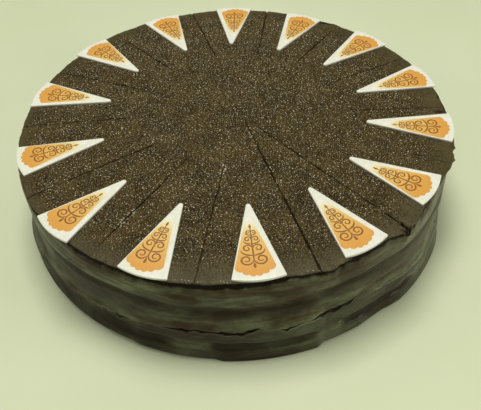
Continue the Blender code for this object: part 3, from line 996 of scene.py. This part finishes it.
def wedge_outline(length, width, inset):
    """The plaque's outline moved inwards: round tip at -X, straight sides, round corners, curved end."""
    half = 0.5 * width
    taper = math.asin((half - PLAQUE_TIP_RADIUS) / (length - PLAQUE_TIP_RADIUS))
    end_x = 0.5 * length - PLAQUE_END_RADIUS
    reach = math.asin((half - PLAQUE_CORNER) / PLAQUE_END_RADIUS)
    corner_x = end_x + (PLAQUE_END_RADIUS - PLAQUE_CORNER) * math.cos(reach)
    corner_y = half - PLAQUE_CORNER
    tip, corner, end = (radius - inset for radius in (PLAQUE_TIP_RADIUS, PLAQUE_CORNER, PLAQUE_END_RADIUS))
    points = arc(PLAQUE_TIP_RADIUS - 0.5 * length, 0.0, tip, math.pi / 2 + taper, 1.5 * math.pi - taper, 9)
    points += arc(corner_x, -corner_y, corner, -math.pi / 2 + taper, -reach, 5)
    points += arc(end_x, 0.0, end, -reach, reach, 15)[1:-1]
    return points + arc(corner_x, corner_y, corner, reach, math.pi / 2 - taper, 5)


def half_width(x, length, width):
    """Half the plaque's width at x from its middle."""
    corner = PLAQUE_END_RADIUS - math.sqrt(PLAQUE_END_RADIUS**2 - 0.25 * width**2)
    return 0.5 * width * ramp(x, -0.5 * length - 0.8 * MM, 0.5 * length - corner)


# The orange field: its distance from the plaque's tip, end and sides, and how far its end bows out in lobes
FIELD_TIP = 10.5 * MM
FIELD_END = 3.2 * MM
FIELD_MARGIN = 1.5 * MM
FIELD_BOW = 5.2 * MM
FIELD_LOBES = 6
LOBE_BULGE = 1.0 * MM


def field_outline(length, width, shift):
    """The orange field: straight sides, and an outer end of small round lobes."""
    end_x = 0.5 * length - FIELD_END
    tip_x = -0.5 * length + FIELD_TIP
    tip_half = half_width(tip_x, length, width) - FIELD_MARGIN
    end_half = half_width(end_x - FIELD_BOW, length, width) - FIELD_MARGIN
    cusps = []
    for turn in np.linspace(-1.0, 1.0, FIELD_LOBES + 1):
        bulge = FIELD_BOW * (1.0 - turn**2)
        cusps.append(Vector((end_x - FIELD_BOW + bulge, end_half * turn)))
    points = [Vector((tip_x, tip_half)), Vector((tip_x - 0.7 * MM, 0.0)), Vector((tip_x, -tip_half))]
    for a, b in zip(cusps, cusps[1:]):
        chord = b - a
        outward = Vector((chord.y, -chord.x)).normalized()
        for share in np.linspace(0.0, 1.0, 7)[:-1]:
            points.append(a + chord * share + outward * LOBE_BULGE * math.sin(math.pi * share) ** 0.7)
    points.append(cusps[-1])
    moved = []
    for point in points:
        limit = half_width(point.x, length, width) - PRINT_MARGIN
        moved.append((point.x, float(np.clip(point.y + shift, -limit, limit))))
    return moved


def spiral(centre, start, radius, inner, turns, hand, count):
    """Points winding in from radius to inner round centre; hand is 1 anticlockwise and -1 clockwise."""
    points = []
    for share in np.linspace(0.0, 1.0, count):
        turn = start + hand * 2.0 * math.pi * turns * share
        reach = radius + (inner - radius) * share**0.8
        points.append((centre[0] + reach * math.cos(turn), centre[1] + reach * math.sin(turn)))
    return points


# The ornament, in millimetres from the middle of the plaque. Its curls, in pairs either side of the stem:
# (where, radius, turns, 1 towards the end or -1 towards the tip, widest)
CURLS = (
    (11.6, 3.7, 1.45, 1, 0.95),
    (4.4, 2.7, 1.25, -1, 0.85),
    (-1.6, 2.0, 1.2, -1, 0.75),
    (-6.2, 1.4, 1.1, -1, 0.65),
)
# The leaves, in pairs too: (where, how far they reach, widest)
LEAVES = ((9.0, 6.2, 0.95), (1.6, 4.2, 0.85), (-4.2, 2.9, 0.7))


# The stem, the bud at its tip and the drop at its outer end: (from, to, points, widest and narrowest)
STEMS = ((12.5, -9.4, 24, 0.8, 0.5), (-8.9, -11.6, 8, 1.3, 0.2), (16.9, 13.6, 8, 1.5, 0.3))


def scroll_strokes():
    """The ornament's pen strokes: (points, widest, narrowest)."""
    strokes = []
    for start, end, count, widest, narrowest in STEMS:
        points = [(x * MM, 0.0) for x in np.linspace(start, end, count)]
        strokes.append((points, widest * MM, narrowest * MM))
    for x, radius, turns, way, width in CURLS:
        for hand in (1, -1):
            reach = radius * MM
            centre, start = (x * MM, hand * reach), -hand * 0.5 * math.pi
            points = spiral(centre, start, reach, 0.22 * reach, turns, hand * way, 40)
            strokes.append((points, width * MM, 0.4 * MM))
    for x, reach, width in LEAVES:
        for hand in (1, -1):
            strokes.append((leaf(x, hand, reach), width * MM, 0.15 * MM))
    return strokes


def leaf(x, hand, reach):
    """A leaf that leaves the stem sideways and bends back towards the tip."""
    points = []
    for sweep in np.linspace(0.0, 1.7, 12):
        back, out = 0.55 * reach * (1.0 - math.cos(sweep)), 0.95 * reach * math.sin(sweep)
        points.append(((x - back) * MM, hand * out * MM))
    return points


def stroke_outline(points, widest, narrowest):
    """A closed outline round a pen stroke that swells after its start and thins to its end."""
    points = np.array(points)
    direction = np.gradient(points, axis=0)
    direction /= np.linalg.norm(direction, axis=1)[:, None]
    side = np.stack([-direction[:, 1], direction[:, 0]], -1)
    share = np.linspace(0.0, 1.0, len(points))
    width = narrowest + (widest - narrowest) * np.sin(math.pi * share**0.6) ** 0.8
    out = side * 0.5 * width[:, None]
    return np.concatenate([points - out, (points + out)[::-1]])


BODY, FIELD, SCROLL = 0, 1, 2
# The rings round a plaque's rounded edge: (inset, drop) in millimetres; the first bounds its face
PLAQUE_EDGE = ((0.35, 0.0), (0.22, 0.035), (0.1, 0.12), (0.0, 0.3))
FACE_PITCH = 2.0 * MM
# How deep each plaque is sunk into the glaze
PLAQUE_SINK = 0.45 * MM


def plaque_face(length, width, thickness, shift, tilt):
    """The printed face: (points, triangles, which ink each triangle carries)."""
    rim = wedge_outline(length, width, PLAQUE_EDGE[0][0] * MM)
    field = field_outline(length, width, shift)
    strokes = [stroke_outline(*stroke) for stroke in scroll_strokes()]
    turn = np.array([[math.cos(tilt), -math.sin(tilt)], [math.sin(tilt), math.cos(tilt)]])
    loops = [rim, field] + [(stroke @ turn.T + [1.0 * MM, shift]).tolist() for stroke in strokes]
    grid = []
    for x in np.arange(-0.5 * length + FACE_PITCH, 0.5 * length - 0.5 * FACE_PITCH, FACE_PITCH):
        reach = half_width(x, length, width) - 0.9 * MM
        grid += [(x, y) for y in np.arange(-reach, reach, FACE_PITCH)]
    coords, polygons = [], []
    for loop in loops:
        polygons.append(list(range(len(coords), len(coords) + len(loop))))
        coords += [Vector(point) for point in loop]
    coords += [Vector(point) for point in grid]
    points, _, faces, _, _, owners = delaunay_2d_cdt(coords, [], polygons, 1, 1e-7)
    kept, inks = [], []
    for face, owner in zip(faces, owners):
        if 0 not in owner:
            continue
        kept.append(face)
        inks.append(SCROLL if max(owner) > 1 else FIELD if 1 in owner else BODY)
    return [(point.x, point.y, thickness) for point in points], kept, inks


def plaque_body(length, width, thickness, shift, tilt):
    """The printed face, rounded edge and underside: (points, faces, which ink each face carries)."""
    points, faces, inks = plaque_face(length, width, thickness, shift, tilt)
    ring = list(range(len(wedge_outline(length, width, 0.0))))
    bottom = thickness / MM
    for inset, drop in PLAQUE_EDGE[1:] + ((0.0, bottom - 0.05), (0.3, bottom)):
        below = [len(points) + index for index in range(len(ring))]
        points += [(x, y, thickness - drop * MM) for x, y in wedge_outline(length, width, inset * MM)]
        faces += zip(ring, below, below[1:] + below[:1], ring[1:] + ring[:1])
        ring = below
    faces.append(tuple(reversed(ring)))
    return np.array(points), faces, inks + [BODY] * (len(faces) - len(inks))


def make_plaque(number, pose, materials):
    middle, along, length, width = pose
    rng = np.random.default_rng(700 + number)
    lowest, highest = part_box(f"plaque_{number:02d}")
    base = lowest.z - PLAQUE_SINK
    thickness = highest.z - base
    shift = (-1.1 + rng.uniform(-0.3, 0.4)) * MM
    tilt = math.radians(rng.uniform(-1.5, 1.5))
    points, faces, inks = plaque_body(length, width, thickness, shift, tilt)
    warp = 0.10 * MM * np.sin(points[:, 0] / (9 * MM) + rng.uniform(0, 6))
    points[:, 2] += warp * (points[:, 2] > 0.5 * thickness)
    plaque = new_mesh(f"wedge_{number:02d}", points, [tuple(face) for face in faces], place=points)
    for material in materials:
        plaque.data.materials.append(material)
    plaque.data.polygons.foreach_set("material_index", np.array(inks, np.int32))
    turn = Matrix.Rotation(math.atan2(along[1], along[0]), 4, "Z")
    plaque.matrix_world = Matrix.Translation((middle[0], middle[1], base)) @ turn
    return plaque


# Materials


def srgb(red, green, blue):
    """The scene's linear colour, with alpha, for a screen colour of 0 to 255."""
    shades = [value / 255.0 for value in (red, green, blue)]
    return tuple(s / 12.92 if s <= 0.04045 else ((s + 0.055) / 1.055) ** 2.4 for s in shades) + (1.0,)


class Nodes:
    """A material's nodes, made and joined in one call each; noise has its scale in cells to the metre."""

    def __init__(self, name):
        self.material = bpy.data.materials.new(name)
        self.material.use_nodes = True
        self.tree = self.material.node_tree

    def fill(self, node, inputs):
        """Sets or joins inputs by number, or by name with _ for a space."""
        for key, value in inputs.items():
            socket = node.inputs[key.replace("_", " ") if isinstance(key, str) else key]
            if isinstance(value, bpy.types.NodeSocket):
                self.tree.links.new(value, socket)
            else:
                socket.default_value = value
        return node

    def make(self, kind, settings=None, **inputs):
        node = self.tree.nodes.new(kind)
        for key, value in (settings or {}).items():
            setattr(node, key, value)
        return self.fill(node, inputs)

    def attribute(self, name, output="Fac"):
        return self.make("ShaderNodeAttribute", {"attribute_name": name}).outputs[output]

    def coordinates(self, stretch=(1.0, 1.0, 1.0)):
        place = self.make("ShaderNodeTexCoord").outputs["Object"]
        return self.make("ShaderNodeMapping", Vector=place, Scale=stretch).outputs["Vector"]

    def noise(self, vector, scale, detail=3.0, roughness=0.55):
        inputs = {"Vector": vector, "Scale": scale, "Detail": detail, "Roughness": roughness}
        return self.make("ShaderNodeTexNoise", **inputs).outputs["Fac"]

    def spread(self, value, low, high, to_low=0.0, to_high=1.0):
        """The value with low to high stretched to to_low to to_high, and no further."""
        inputs = {"From Min": low, "From Max": high, "To Min": to_low, "To Max": to_high}
        return self.make("ShaderNodeMapRange", {"clamp": True}, Value=value, **inputs).outputs["Result"]

    def mix(self, share, first, second):
        node = self.make("ShaderNodeMix", {"data_type": "RGBA"})
        return self.fill(node, {0: share, 6: first, 7: second}).outputs[2]

    def maths(self, operation, first, second):
        node = self.make("ShaderNodeMath", {"operation": operation})
        return self.fill(node, {0: first, 1: second}).outputs[0]

    def bump(self, height, strength, distance, **inputs):
        inputs.update(Height=height, Strength=strength, Distance=distance)
        return self.make("ShaderNodeBump", **inputs).outputs["Normal"]

    def finish(self, **inputs):
        self.fill(self.tree.nodes["Principled BSDF"], inputs)
        return self.material


# Colours: the glaze of the top, the painted sheen by its rim and the painted shade in its cuts, that of
# the side with its painted sheen, shade and highlight, the grain with its painted glint, and white
# chocolate
GLAZE_LIGHT = srgb(87, 72, 38)
GLAZE_DARK = srgb(30, 18, 2)
RIM_SHEEN = srgb(89, 82, 61)
RIM_SHEEN_DARK = srgb(67, 59, 42)
CUT_SHADE = srgb(24, 11, 3)
SIDE_PALE_AND_SHEEN = srgb(119, 126, 98)
SIDE_DARK = srgb(56, 48, 28)
SIDE_STAIN = srgb(58, 34, 15)
SIDE_SHADED = srgb(31, 19, 7)
SIDE_SHEEN = srgb(150, 156, 150)
GRAIN_DARK = srgb(46, 30, 8)
GRAIN_GLINT = srgb(246, 241, 222)
WHITE_CHOCOLATE = srgb(231, 231, 232)
WHITE_SHADE = srgb(222, 221, 212)


def top_material():
    n = Nodes("glaze on the top")
    place = n.coordinates()
    mottle = n.spread(n.noise(place, 70.0), 0.35, 0.65, -0.04, 0.04)
    fine = n.noise(place, 1250.0, 2.0, 0.7)
    fleck = n.spread(n.maths("ADD", fine, mottle), 0.45, 0.56)
    colour = n.mix(fleck, GLAZE_DARK, GLAZE_LIGHT)
    # A painted sheen on the smooth band inside the rim
    rim = n.mix(fleck, RIM_SHEEN_DARK, RIM_SHEEN)
    colour = n.mix(n.attribute("edge"), colour, rim)
    # Painted shade in the score lines, the torn hollow, the torn lip, the nicks and under the lip
    colour = n.mix(n.attribute("cut"), colour, CUT_SHADE)
    rough = n.spread(n.noise(place, 160.0), 0.3, 0.7, 0.34, 0.44)
    rough = n.maths("ADD", rough, n.maths("MULTIPLY", n.attribute("cut"), 0.4))
    normal = n.bump(fine, 0.35, 0.4 * MM)
    return n.finish(Base_Color=colour, Roughness=rough, Normal=normal, IOR=1.2)


def grain_material():
    n = Nodes("grain of the glaze")
    place = n.coordinates()
    # Pale grains carry a painted glint
    colour = n.mix(n.attribute("shade"), GRAIN_DARK, GRAIN_GLINT)
    rough = n.spread(n.noise(place, 300.0), 0.3, 0.7, 0.18, 0.34)
    return n.finish(Base_Color=colour, Roughness=rough, IOR=1.5)


def side_material():
    n = Nodes("glaze on the side")
    wide = n.coordinates((1.0, 1.0, 2.2))
    drawn = n.coordinates((1.0, 1.0, 9.0))
    even = n.coordinates()
    clouds = n.spread(n.noise(wide, 42.0, 4.0, 0.6), 0.36, 0.64)
    # The pale end of the clouds is partly the glaze's own colour and partly a painted greenish sheen
    colour = n.mix(clouds, SIDE_DARK, SIDE_PALE_AND_SHEEN)
    stains = n.spread(n.noise(drawn, 26.0, 5.0, 0.65), 0.45, 0.63, 0.0, 0.8)
    colour = n.mix(stains, colour, SIDE_STAIN)
    grain = n.spread(n.noise(even, 700.0, 2.0, 0.7), 0.35, 0.65, 0.0, 0.3)
    colour = n.mix(grain, colour, SIDE_STAIN)
    # Painted shade from the shade attribute, a little lighter in the pale clouds
    dusk = n.maths("MULTIPLY", n.attribute("shade"), n.spread(clouds, 0.0, 1.0, 1.0, 0.75))
    colour = n.mix(dusk, colour, SIDE_SHADED)
    # Painted shade in the crease, the seam's gaps and the pits
    colour = n.mix(n.attribute("cut"), colour, CUT_SHADE)
    gloss = n.attribute("gloss")
    # A painted highlight on the wet ridges
    colour = n.mix(n.spread(gloss, 0.88, 1.0, 0.0, 0.4), colour, SIDE_SHEEN)
    rough = n.spread(gloss, 0.0, 1.0, 0.55, 0.13)
    rough = n.maths("ADD", rough, n.spread(n.noise(even, 60.0), 0.3, 0.7, -0.06, 0.06))
    rough = n.maths("ADD", rough, n.maths("MULTIPLY", n.attribute("cut"), 0.4))
    normal = n.bump(n.noise(drawn, 60.0, 4.0), 0.3, 0.5 * MM)
    normal = n.bump(n.noise(even, 600.0, 2.0), 0.15, 0.3 * MM, Normal=normal)
    return n.finish(Base_Color=colour, Roughness=rough, Normal=normal, IOR=1.3)


def white_material():
    n = Nodes("white chocolate")
    place = n.coordinates()
    colour = n.mix(n.spread(n.noise(place, 180.0), 0.35, 0.7), WHITE_CHOCOLATE, WHITE_SHADE)
    normal = n.bump(n.noise(place, 600.0, 2.0), 0.15, 0.2 * MM)
    return n.finish(Base_Color=colour, Roughness=0.42, Normal=normal)


# The orange field's colours, from its tip to its outer end: (share of the way, colour)
FIELD_STOPS = (
    (0.0, WHITE_CHOCOLATE),
    (0.12, srgb(233, 221, 184)),
    (0.27, srgb(226, 192, 122)),
    (0.62, srgb(221, 174, 93)),
    (1.0, srgb(216, 155, 72)),
)


def field_material():
    n = Nodes("orange print")
    x = n.make("ShaderNodeSeparateXYZ", Vector=n.attribute("place", "Vector")).outputs["X"]
    grainy = n.noise(n.coordinates(), 240.0)
    along = n.maths("ADD", x, n.maths("MULTIPLY", n.maths("SUBTRACT", grainy, 0.5), 3 * MM))
    colours = n.make("ShaderNodeValToRGB", Fac=n.spread(along, -13.5 * MM, 19.0 * MM))
    elements = colours.color_ramp.elements
    elements[0].position, elements[0].color = FIELD_STOPS[0]
    elements[1].position, elements[1].color = FIELD_STOPS[-1]
    for position, colour in FIELD_STOPS[1:-1]:
        elements.new(position).color = colour
    return n.finish(Base_Color=colours.outputs["Color"], Roughness=0.45)


def scroll_material():
    n = Nodes("brown print")
    shade = n.spread(n.noise(n.coordinates(), 500.0), 0.35, 0.65)
    colour = n.mix(shade, srgb(126, 74, 27), srgb(148, 92, 38))
    return n.finish(Base_Color=colour, Roughness=0.45)


def floor_material():
    n = Nodes("plain floor")
    shade = n.spread(n.noise(n.coordinates(), 6.0), 0.3, 0.7)
    colour = n.mix(shade, srgb(208, 215, 190), srgb(214, 220, 197))
    return n.finish(Base_Color=colour, Roughness=0.7)


# The stage


FLOOR_HALF = 2.5
FLOOR_DROP = 0.1 * MM
# The camera looks down from the front, as the photographer stood, with the front of the rim nearest
CAMERA_TARGET = Vector((3.0 * MM, -78.0 * MM, HEIGHT))
CAMERA_DISTANCE = 0.326
CAMERA_ELEVATION = math.radians(45.8)
CAMERA_ROLL = math.radians(-2.46)
CAMERA_LENS = 46.25
CAMERA_FILM = 36.0
# Area lights: (name, place, size, power)
LIGHTS = (
    ("key", (-0.05, 0.12, 1.15), (0.45, 0.45), 9.2),
    ("left", (-0.9, -0.1, 0.4), (0.5, 0.4), 2.0),
    ("right", (0.8, -0.3, 0.35), (0.5, 0.4), 2.8),
)
LIGHT_TINT = (1.0, 0.99, 0.84)
LIGHT_TARGET = Vector((0.0, 0.0, 0.03))
WORLD_COLOUR = srgb(228, 231, 200)
WORLD_STRENGTH = 0.26


def make_floor():
    corners = [(FLOOR_HALF * x, FLOOR_HALF * y, 0.0) for x, y in ((-1, -1), (1, -1), (1, 1), (-1, 1))]
    floor = new_mesh("floor", corners, [(0, 1, 2, 3)])
    floor.data.materials.append(floor_material())
    floor.location.z = -FLOOR_DROP


def make_camera():
    back = Vector((0.0, -math.cos(CAMERA_ELEVATION), math.sin(CAMERA_ELEVATION)))
    right = Vector((1.0, 0.0, 0.0))
    up = back.cross(right)
    across = right * math.cos(CAMERA_ROLL) + up * math.sin(CAMERA_ROLL)
    upright = up * math.cos(CAMERA_ROLL) - right * math.sin(CAMERA_ROLL)
    data = bpy.data.cameras.new("camera")
    data.lens = CAMERA_LENS
    data.sensor_width = CAMERA_FILM
    data.clip_start = 0.01
    camera = bpy.data.objects.new("camera", data)
    bpy.context.scene.collection.objects.link(camera)
    turn = Matrix((across, upright, back)).transposed().to_4x4()
    camera.matrix_world = Matrix.Translation(CAMERA_TARGET + back * CAMERA_DISTANCE) @ turn
    bpy.context.scene.camera = camera


def make_light(name, place, size, power):
    data = bpy.data.lights.new(name, "AREA")
    data.shape = "RECTANGLE"
    data.size, data.size_y = size
    data.energy = power
    data.color = LIGHT_TINT
    light = bpy.data.objects.new(name, data)
    bpy.context.scene.collection.objects.link(light)
    light.location = place
    light.rotation_euler = (LIGHT_TARGET - Vector(place)).to_track_quat("-Z", "Y").to_euler()


def make_lights():
    for light in LIGHTS:
        make_light(*light)
    world = bpy.data.worlds.new("world")
    world.use_nodes = True
    background = world.node_tree.nodes["Background"]
    background.inputs["Color"].default_value = WORLD_COLOUR
    background.inputs["Strength"].default_value = WORLD_STRENGTH
    bpy.context.scene.world = world
    bpy.context.scene.view_settings.view_transform = "Standard"


def add_piece(piece, slot, *nodes):
    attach(piece, "root")
    if nodes:
        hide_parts(*nodes)


# Sizes of the two grades of grain: (name, sides, pitch, width, height, darkness, seed); the higher the
# darkness, the fewer grains carry the painted glint
GRAINS = (
    ("grain_coarse", 4, 1.8 * MM, 0.78 * MM, 0.3 * MM, 2.4, 501),
    ("grain_fine", 3, 1.1 * MM, 0.6 * MM, 0.2 * MM, 2.8, 511),
)


def main():
    poses = [plaque_pose(f"plaque_{number:02d}") for number in range(1, SLICES + 1)]
    add_piece(make_side(side_material()), "glaze", "cake")
    add_piece(make_top(top_material()), "glaze", "cake")
    grain = grain_material()
    for name, sides, *sizes in GRAINS:
        add_piece(make_grain(name, dome_parts(sides, 0), *sizes, poses, grain), "glaze")
    add_piece(make_burrs(poses, grain), "glaze")
    inks = [white_material(), field_material(), scroll_material()]
    for number, pose in enumerate(poses, 1):
        add_piece(make_plaque(number, pose, inks), "white_chocolate", f"plaque_{number:02d}")
    make_floor()
    make_camera()
    make_lights()


main()
